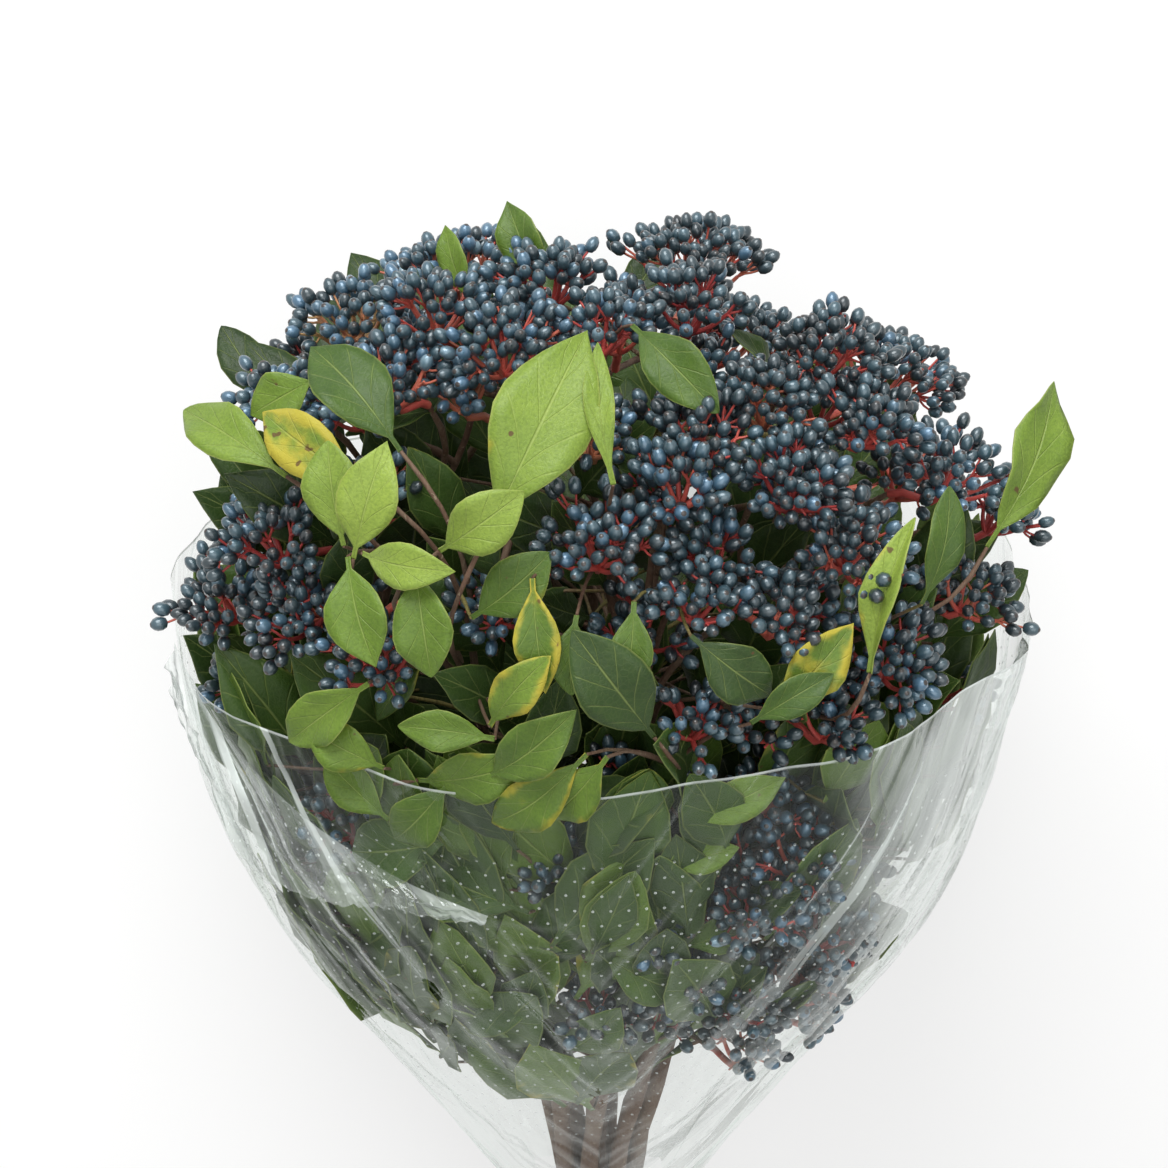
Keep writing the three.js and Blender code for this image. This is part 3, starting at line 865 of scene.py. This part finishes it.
# Leaves that show between the heads: stalk end, tip (x, along, front, millimetres), width, tone, age
shownLeaves = [
    ((-101, 522, 153), (-107, 560, 137), 26, 0.8, 0.1),
    ((-93, 524, 163), (-56, 528, 186), 20, 0.9, 0.1),
    ((-99, 521, 160), (-88, 484, 182), 28, 0.6, 0.1),
    ((-72, 524, 172), (-66, 484, 190), 26, 0.55, 0.0),
    ((-114, 568, 95), (-142, 550, 92), 24, 0.65, 0.3),
    ((4, 552, 160), (-2, 596, 124), 13, 0.8, 0.1),
    ((12, 586, 84), (46, 562, 116), 25, 0.35, 0.0),
    ((-24, 570, 14), (-40, 604, -8), 22, 0.45, 0.1),
    ((-56, 570, 20), (-66, 597, 2), 15, 0.6, 0.1),
    ((128, 488, 138), (138, 534, 124), 18, 0.35, 0.0),
    ((-27, 520, 176), (-22, 478, 192), 20, 0.5, 0.6),
    ((-10, 506, 180), (-12, 476, 190), 18, 0.4, 0.1),
    ((12, 512, 180), (8, 478, 192), 19, 0.45, 0.2),
    ((34, 498, 182), (66, 470, 180), 26, 0.1, 0.0),
    ((-51, 500, 171), (-20, 528, 170), 25, 0.4, 0.2),
    ((66, 464, 180), (98, 496, 168), 24, 0.55, 0.7),
    ((58, 460, 184), (90, 480, 180), 17, 0.3, 0.1),
    ((-44, 460, 186), (-20, 496, 194), 20, 0.7, 0.6),
    ((-42, 456, 189), (-80, 460, 186), 18, 0.55, 0.1),
    ((-46, 436, 185), (-10, 472, 194), 25, 0.45, 0.1),
    ((-92, 470, 170), (-126, 436, 158), 24, 0.65, 0.2),
    ((-88, 430, 170), (-118, 444, 162), 22, 0.6, 0.3),
    ((-86, 405, 168), (-116, 425, 158), 20, 0.5, 0.2),
    ((-6, 452, 194), (-44, 414, 184), 24, 0.5, 0.5),
    ((2, 452, 196), (-22, 418, 190), 22, 0.55, 0.4),
    ((-60, 430, 178), (-84, 396, 168), 24, 0.4, 0.1),
    ((34, 408, 176), (74, 424, 166), 20, 0.6, 0.2),
    ((18, 396, 172), (-8, 350, 166), 22, 0.55, 0.3),
    ((24, 384, 168), (56, 392, 168), 16, 0.6, 0.3),
    ((0, 372, 166), (6, 400, 170), 14, 0.65, 0.4),
    ((-2, 332, 156), (36, 304, 146), 24, 0.35, 0.1),
    ((34, 330, 150), (64, 344, 144), 18, 0.4, 0.1),
    ((-30, 352, 156), (-86, 372, 142), 34, 0.25, 0.0),
    ((-40, 330, 148), (-92, 316, 124), 32, 0.2, 0.0),
    ((-20, 300, 142), (-70, 280, 118), 30, 0.25, 0.0),
    ((-60, 390, 160), (-104, 372, 140), 32, 0.3, 0.0),
]
camWay = Vector((0, 0.2, 0.98)).normalized()  # roughly towards the camera


def habit(bend, fold, wave, twist):  # how one leaf differs from the next
    return {"bend": dice.uniform(*bend), "fold": dice.uniform(*fold), "wave": dice.uniform(*wave),
            "twist": dice.uniform(-twist, twist), "sway": dice.uniform(-1, 1)}


def shownLeaf(row):
    start, tip, width, tone, age = row
    start, tip = (keepInside(place(*end), leaf["margin"]) for end in (start, tip))
    outward = across(start - foot, alongAxis).normalized()
    return {"from": start, "to": tip, "face": camWay * 0.75 + outward * 0.5, "width": width * 0.001,
            "tone": tone, "age": age, **habit((0.05, 0.16), (0.08, 0.35), (0.02, 0.06), 0.5)}


shown = [shownLeaf(row) for row in shownLeaves]
leafPiece("leaves_best_side", shown)


def pairBelow(head, reach):
    # two opposite leaves where a head's stalk leaves its twig
    axis = head["axis"]
    right = side(axis)
    turn = Quaternion(axis, dice.uniform(0, math.pi))
    pair = []
    for sign in (-1, 1):
        out = turn @ (right * sign)
        start = head["base"] - axis * 0.004
        way = (out + axis * dice.uniform(0.1, 0.5)).normalized()
        tip = keepInside(start + way * spread(reach, 0.15), leaf["margin"])
        pair.append({"from": start, "to": tip, "face": axis * 0.8 - out * 0.4,
                     "width": spread(reach * 0.48, 0.12), "tone": dice.uniform(0.1, 0.45),
                     "age": dice.choice((0.0, 0.0, 0.1, 0.35)),
                     **habit((0.05, 0.15), (0.1, 0.35), (0.01, 0.04), 0.4)})
    return pair


leafyHeads = [head for head in heads if bunchCoordinates(head["base"])[0] < -0.02 or dice.random() < 0.12]
underHeads = [one for head in leafyHeads for one in pairBelow(head, leaf["pair"])]
leafPiece("leaves_below_heads", underHeads)


def keepBelow(point, highest):
    return point - alongAxis * max(0, bunchCoordinates(point)[1] - highest)


# the side shoots' leaves inside the film: the first ones stand where they do in the solids, and the left and
# under ones fill a sector, in degrees, behind the film
shoots = {
    "solid": 108, "count": 330, "steps": (0.5698, 0.7549, 0.7323, 0.4142), "depths": (0.012, 0.014, 0.044),
    "length": 0.068, "low": 0.185, "floor": 0.007, "bareRight": (0.112, 0.38, -0.03),
    "left": {"count": 90, "sector": (92, 205), "reach": (0.195, 0.375), "lean": 0.9,
             "lengths": (0.06, 0.095), "depths": (0.009, 0.03)},
    "under": {"count": 60, "sector": (20, 100), "reach": (0.16, 0.38), "lean": 0.7,
              "lengths": (0.05, 0.07), "depths": (0.05, 0.08)},
}


def insideFilm(turn, along, depth):
    point = spotAt(turn, along, sleeveRadius(along) - depth)
    point.z = max(point.z, shoots["floor"])
    return point


def shootLeaf(turn, along, lean, length, depth):
    swing = length * math.sin(lean) / sleeveRadius(along)
    top = min(along + 0.92 * length * math.cos(lean), rimAlong + 0.006)
    return {"from": insideFilm(turn, along, depth + 0.009), "to": insideFilm(turn + swing, top, depth),
            "face": outWay(turn), "width": length * dice.uniform(0.38, 0.5), "tone": dice.uniform(0.05, 0.55),
            "age": dice.choice((0.0, 0.0, 0.0, 0.1, 0.3)),
            **habit((-0.03, 0.04), (0.03, 0.22), (0.01, 0.03), 0.3)}


def fillLeaf(k, fill):
    turn = math.radians(mix(*fill["sector"], (k * shoots["steps"][0]) % 1))
    along = mix(*fill["reach"], (k * shoots["steps"][1]) % 1)
    lean = dice.uniform(-fill["lean"], fill["lean"])
    return shootLeaf(turn, along, lean, dice.uniform(*fill["lengths"]), dice.uniform(*fill["depths"]))


def hidesHead(one):  # in front of one of the low heads, or in the empty right of the film
    middle = one["from"].lerp(one["to"], 0.55)
    x, along, front = bunchCoordinates(middle)
    left, top, back = shoots["bareRight"]
    if x > left and along < top and front > back:
        return True
    for head in low:
        headX, headAlong, headFront = bunchCoordinates(head["base"] + head["axis"] * 0.036)
        apart = abs(math.atan2(front, x) - math.atan2(headFront, headX)) * math.hypot(x, front)
        if apart < head["radius"] + 0.006 and abs(along - headAlong) < head["radius"] + 0.014:
            if math.hypot(x, front) > math.hypot(headX, headFront) - 0.01:
                return True
    return False


def sleeveLeaves():
    made = []
    for k in range(shoots["count"]):
        turnShare, alongShare, leanShare, lengthShare = ((k * step) % 1 for step in shoots["steps"])
        along = mix(shoots["low"], rimAlong - 0.03, alongShare ** 0.75)
        depth = shoots["depths"][k % 3]
        if k >= shoots["solid"]:
            depth *= dice.uniform(0.5, 1.4)
            lengthShare += dice.uniform(-0.2, 0.7)
        length = shoots["length"] * (0.8 + 0.4 * lengthShare)
        one = shootLeaf(turnShare * math.tau, along, leanShare - 0.5, length, depth)
        if k < shoots["solid"] or not hidesHead(one):
            made.append(one)
    for name in ("left", "under"):
        for k in range(shoots[name]["count"]):
            one = fillLeaf(k, shoots[name])
            if name == "under" or not hidesHead(one):
                made.append(one)
    return made


core = {
    "count": 270, "steps": (0.5498, 0.8192, 0.6711), "along": (0.3, 0.5), "radius": 0.145, "clear": 0.035,
    "length": 0.06, "highest": 0.535, "margin": 0.006,
}


def heartLeaves():
    # the dim foliage between the stems and under the heads; its darkest greens are partly the leaves' own deep
    # colour and partly painted shade for the inside of the bunch
    made = []
    for k in range(core["count"]):
        turnShare, alongShare, radiusShare = ((k * step) % 1 for step in core["steps"])
        out = outWay(turnShare * math.tau)
        along = mix(*core["along"], alongShare)
        radius = core["radius"] * math.sqrt(radiusShare) + 0.01
        along -= 0.05 * smooth(0.0, 0.05, radius * out.x)
        radius = min(radius, sleeveRadius(along) - core["clear"])
        start = foot + alongAxis * along + out * radius
        way = alongAxis * 0.8 + out * dice.uniform(0.2, 1.0) + alongAxis.cross(out) * dice.uniform(-0.7, 0.7)
        size = spread(core["length"], 0.25)
        tip = keepBelow(keepInside(start + way.normalized() * size, core["margin"]), core["highest"])
        made.append({"from": keepInside(start, core["margin"]), "to": tip,
                     "face": alongAxis * 0.5 + frontAxis * 0.7 - out * 0.1,
                     # darkest greens: partly the leaves' own colour, partly painted shade deep in the bunch
                     "width": size * dice.uniform(0.42, 0.56), "tone": dice.uniform(0.0, 0.25),
                     "age": dice.choice((0.0, 0.0, 0.2)),
                     **habit((0.0, 0.14), (0.05, 0.3), (0.01, 0.04), 0.5)})
    return made


inSleeve = sleeveLeaves()
leafPiece("leaves_in_sleeve", inSleeve, grid=leaf["plainGrid"])
inHeart = heartLeaves()
leafPiece("leaves_in_heart", inHeart, grid=leaf["plainGrid"])
print("leaves:", len(cadLeaves) + len(shown) + len(underHeads) + len(inSleeve) + len(inHeart))


# stems and twigs

def knotty(run):  # small kinks and swollen joints along a piece of wood
    made = []
    for i, (point, radius) in enumerate(run):
        loose = 0 < i < len(run) - 1
        shift = Vector([dice.gauss(0, 0.12) for _ in range(3)]) * radius if loose else Vector()
        made.append((point + shift, radius * (1.22 if loose and i % 4 == 2 else spread(1.0, 0.05))))
    return made


woodSpots = []


def growWood(start, end, startWay, endWay, radii, knots):
    run = knotty(arc(start, end, startWay, endWay, radii, knots))
    woodSpots.extend(point for point, radius in run)
    return run


def stemPiece(name, line):
    last = stem["knots"]
    trunk = [(linePoint(line, k / last)[0], mix(stem["radius"], stem["tipRadius"], k / last))
             for k in range(last + 1)]
    runs = [(knotty(trunk), 0)]
    woodSpots.extend(point for point, radius in runs[0][0])
    for base, axis, radii in loads:
        if stemFor(base) != name:
            continue
        share = clamp((bunchCoordinates(base)[1] * 1000 - stem["lead"]) / stem["top"], *stem["forks"])
        fork, lead = linePoint(line, share)
        runs.append((growWood(fork, base, lead, axis, radii, stem["twigKnots"]), 0))
    wood = tubesMesh(name + "_wood", runs, 3)
    paint(wood, [dice.uniform(0.0, 0.45)] * len(wood.vertices))
    for polygon in wood.polygons:
        if polygon.normal.dot(alongAxis) < -0.8 and (polygon.center - foot).dot(alongAxis) < 0.0015:
            polygon.material_index = 1
    return finishPiece(name + "_wood", wood, [bark, pith], (name,))


def leafFoot(one):  # where a leaf's stalk meets its twig, and the way it goes on
    return one["from"], (one["to"] - one["from"]).normalized()


loads = [(head["base"], head["axis"], stem["twigRadii"]) for head in heads]
loads += [(*leafFoot(one), stem["leafTwigRadii"]) for one in cadLeaves]
for name, line in stemLines.items():
    stemPiece(name, line)


def nearestWood(tree, end, outward):  # below the end and inside it, where there is some
    best, cost = None, math.inf
    for spot, index, gap in tree.find_range(end - (alongAxis + outward) * 0.02, stem["sideTwig"]["reach"]):
        climb, depth = (end - spot).dot(alongAxis), (end - spot).dot(outward)
        value = gap + (0.1 if climb < 0.006 else 0) + 2.5 * max(0.0, 0.03 - depth)
        if value < cost:
            best, cost = spot, value
    return tree.find(end)[0] if best is None else best


def sideTwigs():
    # the shoots that bear the smaller heads and the loose leaves
    tree = KDTree(len(woodSpots))
    for index, point in enumerate(woodSpots):
        tree.insert(point, index)
    tree.balance()
    twig = stem["sideTwig"]
    ends = [(head["base"], head["axis"], twig["head"]) for head in inner + low]
    ends += [(*leafFoot(one), twig["leaf"]) for one in shown + inSleeve + inHeart]
    runs = []
    for end, way, thick in ends:
        outward = across(end - foot, alongAxis).normalized()
        start = nearestWood(tree, end, outward)
        toward = (end - start).normalized()
        leave = (alongAxis * 0.2 + toward).normalized()
        arrive = (toward + outward * 0.5 + way * 0.3).normalized()
        run = arc(start, end, leave, arrive, (thick * 1.3, thick), twig["knots"])
        runs.append((knotty(run), 0))
    mesh = tubesMesh("side_twigs", runs, 1)
    paint(mesh, [0.5 + 0.5 * noise.noise(vert.co * 25) for vert in mesh.vertices])
    return finishPiece("side_twigs", mesh, [bark])


sideTwigs()
print("stems made")


# rubber band

band = {"thickness": 0.0011, "turns": 4, "half": 0.0027, "tilt": 0.0012, "steps": 48}


def bandPiece():
    points = pointsOf("rubber_band")
    centre = middleOf(points)
    inside = min(across(p - centre, alongAxis).length for p in points)
    runs = []
    for k in range(band["turns"]):
        shift = mix(-band["half"], band["half"], k / (band["turns"] - 1))
        tilt = band["tilt"] * (-1) ** k
        run = []
        for i in range(band["steps"] + 1):
            angle = i / band["steps"] * math.tau
            radius = inside + band["thickness"] * 0.9 + 0.0003 * math.cos(8 * angle)
            spot = centre + outWay(angle) * radius + alongAxis * (shift + tilt * math.sin(angle))
            run.append((spot, band["thickness"]))
        runs.append((run, 0))
    mesh = tubesMesh("rubber_band_turns", runs, 2)
    return finishPiece("rubber_band_turns", mesh, [rubber], ("rubber_band",))


bandPiece()


# film sleeve

sleeve = {
    "columns": 300, "rows": 90, "inset": 0.0006, "lip": 0.05, "gather": (0.2, 0.08),
    "creases": 26, "creaseLow": (0.1, 0.34), "creaseLength": (0.1, 0.24), "creaseLean": (0.8, 3.0),
    "creaseWidth": (0.004, 0.01), "creaseDepth": (0.0025, 0.006),
}


def creaseList():
    creases = []
    for k in range(sleeve["creases"]):
        angle = dice.uniform(-math.pi, math.pi)
        low = dice.uniform(*sleeve["creaseLow"])
        # the folds swing to the front as they go down
        lean = dice.uniform(*sleeve["creaseLean"]) * (1 if math.sin(angle) > 0 else -1)
        creases.append({"angle": angle, "low": low, "high": low + dice.uniform(*sleeve["creaseLength"]),
                        "slant": lean, "width": dice.uniform(*sleeve["creaseWidth"]),
                        "depth": dice.uniform(*sleeve["creaseDepth"])})
    return creases


def sleevePiece():
    bm = bmesh.new()
    start, end = sleeveRings[0][0], rimAlong
    line = []
    for i in range(sleeve["rows"] + 1):
        along = mix(start, end, i / sleeve["rows"])
        line.append(bm.verts.new((sleeveRadius(along), 0, along)))
    spinShell(bm, line, sleeve["columns"])
    uvLayer = bm.loops.layers.uv.new("UVMap")
    for face in bm.faces:
        turns = [math.atan2(loop.vert.co.x, loop.vert.co.y) for loop in face.loops]
        wraps = max(turns) - min(turns) > math.pi
        for loop, turn in zip(face.loops, turns):
            girth = math.hypot(loop.vert.co.x, loop.vert.co.y)
            loop[uvLayer].uv = ((turn + math.tau if wraps and turn < 0 else turn) * girth, loop.vert.co.z)
    creases = creaseList()
    for vert in bm.verts:
        angle = math.atan2(vert.co.x, vert.co.y)  # 0 on the best side, a quarter turn to the right
        along, radius = vert.co.z, math.hypot(vert.co.x, vert.co.y)
        seat = Vector((math.sin(angle), math.cos(angle), along * 4)) * 2.2
        push = -0.0035 * (0.5 + noise.noise(seat * 1.4)) - 0.0022 * abs(noise.noise(seat * 4.0))
        for one in creases:
            if one["low"] < along < one["high"]:
                centre = one["angle"] + one["slant"] * (along - one["low"])
                away = (angle - centre + math.pi) % math.tau - math.pi
                share = (along - one["low"]) / (one["high"] - one["low"])
                narrow = math.exp(-(away * radius / one["width"]) ** 2)
                push -= one["depth"] * math.sin(math.pi * share) * narrow
        gather = smooth(*sleeve["gather"], along)
        push += gather * 0.0028 * math.cos(9 * angle) + gather * 0.0012 * math.cos(23 * angle)
        # a wavy, slightly curling free edge
        lip = smooth(end - sleeve["lip"], end, along)
        push += lip * (0.003 * math.sin(5 * angle + 1.0) + 0.002 * math.sin(11 * angle))
        radius = radius + push - sleeve["inset"]
        rimShift = lip * (0.005 * math.sin(3 * angle + 0.6) + 0.0025 * math.sin(8 * angle))
        spot = spotAt(math.pi / 2 - angle, along + rimShift, radius)
        spot.z = max(spot.z, sleeve["inset"])
        vert.co = spot
    mesh = meshFrom(bm, "film_sleeve_sheet")
    return finishPiece("film_sleeve_sheet", mesh, [clearFilm], ("film_sleeve",))


sheetPiece = sleevePiece()


# the torn flap of film that is folded over outside, left of the best side: degrees round, millimetres along
flap = {
    "columns": 90, "rows": 18, "from": 160, "to": 104, "deep": 0.06, "seam": 0.2983,
    "upper": [(160, 431), (126, 392), (115, 380), (104, 370)],
    "lower": [(160, 408), (150, 386), (142, 344), (135, 350), (127, 356), (115, 366), (104, 368)],
}


def onPath(path, turn):
    for (a, first), (b, second) in zip(path, path[1:]):
        if turn >= b:
            return mix(first, second, (turn - a) / (b - a))
    return path[-1][1]


def flapPiece():
    bm = bmesh.new()
    uvLayer = bm.loops.layers.uv.new("UVMap")
    bmesh.ops.create_grid(bm, x_segments=flap["columns"], y_segments=flap["rows"], size=0.5)
    laid = {}
    for vert in bm.verts:
        turn = mix(flap["from"], flap["to"], vert.co.x + 0.5)
        down = 0.5 - vert.co.y
        ragged = 0.004 * noise.noise(Vector((turn * 0.35, 0, 3)))
        ragged += 0.0025 * noise.noise(Vector((turn * 1.1, 0, 7)))
        along = mix(onPath(flap["upper"], turn), onPath(flap["lower"], turn), down) * 0.001 + ragged * down
        angle = math.radians(turn)
        seat = Vector((turn * 0.09, down * 1.6, 0))
        loose = 0.0035 + 0.004 * noise.noise(seat * 2) + 0.002 * noise.noise(seat * 7)
        lift = 0.0012 + smooth(0, 0.3, down) * loose
        radius = sleeveRadius(along) + max(0.0008, lift)
        laid[vert] = (angle * radius, along)
        vert.co = spotAt(angle, along, radius)
    for face in bm.faces:
        for loop in face.loops:
            arcLength, along = laid[loop.vert]
            loop[uvLayer].uv = (flap["seam"] - arcLength, along)
    bmesh.ops.recalc_face_normals(bm, faces=bm.faces)
    return finishPiece("film_flap", meshFrom(bm, "film_flap"), [hazyFilm])


flapSheet = flapPiece()
print("sleeve made")


# floor, light, camera

stage = {
    "floor": (0.93, 0.93, 0.925), "whiteness": 0.62, "fade": (0.7, 2.4),
    "lamps": {"keyLamp": ((-0.3, 1.5, 1.5), 1.2, 37.0), "topLamp": ((0.3, 0.0, 2.2), 1.8, 17.0)},
    "world": 0.42, "elevation": 28, "distance": 1.35, "lens": 92.5, "aim": (0.0072, 0.0054),
}


def floorFinish():
    finish = Finish("paleFloor")
    where = finish.place()
    grain = finish.noise(where, 3.0, 2.0)
    colour = finish.blend(grain * 0.02, stage["floor"], (0.9, 0.9, 0.9))
    plain = finish.add("ShaderNodeBsdfPrincipled", sockets={"Base Color": colour, "Roughness": 0.95})
    glow = finish.add("ShaderNodeEmission", sockets={"Color": (1, 1, 1, 1), "Strength": 1.0})
    # white further out, plainer near the bunch, where its shadow falls
    away = finish.add("ShaderNodeVectorMath", {"operation": "LENGTH"}, {0: where}, out="Value")
    white = away.ramp(*stage["fade"]) * (1 - stage["whiteness"]) + stage["whiteness"]
    finish.show(finish.add("ShaderNodeMixShader", sockets={0: finish.seen() * white, 1: plain, 2: glow}))
    return finish


def makeFloor():
    bm = bmesh.new()
    bmesh.ops.create_grid(bm, x_segments=2, y_segments=2, size=4)
    floor = bpy.data.objects.new("floor", meshFrom(bm, "floor"))
    bpy.context.scene.collection.objects.link(floor)
    floor.data.materials.append(floorFinish().material)


def makeWorld():
    world = bpy.data.worlds.new("studio")
    bpy.context.scene.world = world
    finish = Finish("studioAir", world)
    light, white = (finish.add("ShaderNodeBackground", sockets={"Color": (1, 1, 1, 1), "Strength": strength})
                    for strength in (stage["world"], 1.0))
    finish.show(finish.add("ShaderNodeMixShader", sockets={0: finish.seen(), 1: light, 2: white}))


def makeLamp(name, at, aim, size, power):
    light = bpy.data.lights.new(name, "AREA")
    light.shape = "SQUARE"
    light.size = size
    light.energy = power
    lamp = bpy.data.objects.new(name, light)
    bpy.context.scene.collection.objects.link(lamp)
    lamp.location = at
    lamp.rotation_euler = (aim - lamp.location).to_track_quat("-Z", "Y").to_euler()


def makeCamera():
    view = math.radians(stage["elevation"]) - rise
    outward = Vector((0, math.sin(view), math.cos(view)))
    upward = Vector((0, math.cos(view), -math.sin(view)))
    rimMiddle = foot + alongAxis * rimAlong
    left, lower = stage["aim"]
    target = rimMiddle - Vector((left, 0, 0)) - upward * lower
    data = bpy.data.cameras.new("camera")
    data.lens = stage["lens"]
    data.clip_start = 0.05
    camera = bpy.data.objects.new("camera", data)
    bpy.context.scene.collection.objects.link(camera)
    camera.matrix_world = Matrix.Translation(target + outward * stage["distance"]) @ Matrix(
        (Vector((1, 0, 0)), upward, outward)).transposed().to_4x4()
    bpy.context.scene.camera = camera


makeFloor()
makeWorld()
heart = foot + alongAxis * 0.42
for name, (at, size, power) in stage["lamps"].items():
    makeLamp(name, at, heart, size, power)
makeCamera()
bpy.context.scene.view_settings.view_transform = "Standard"
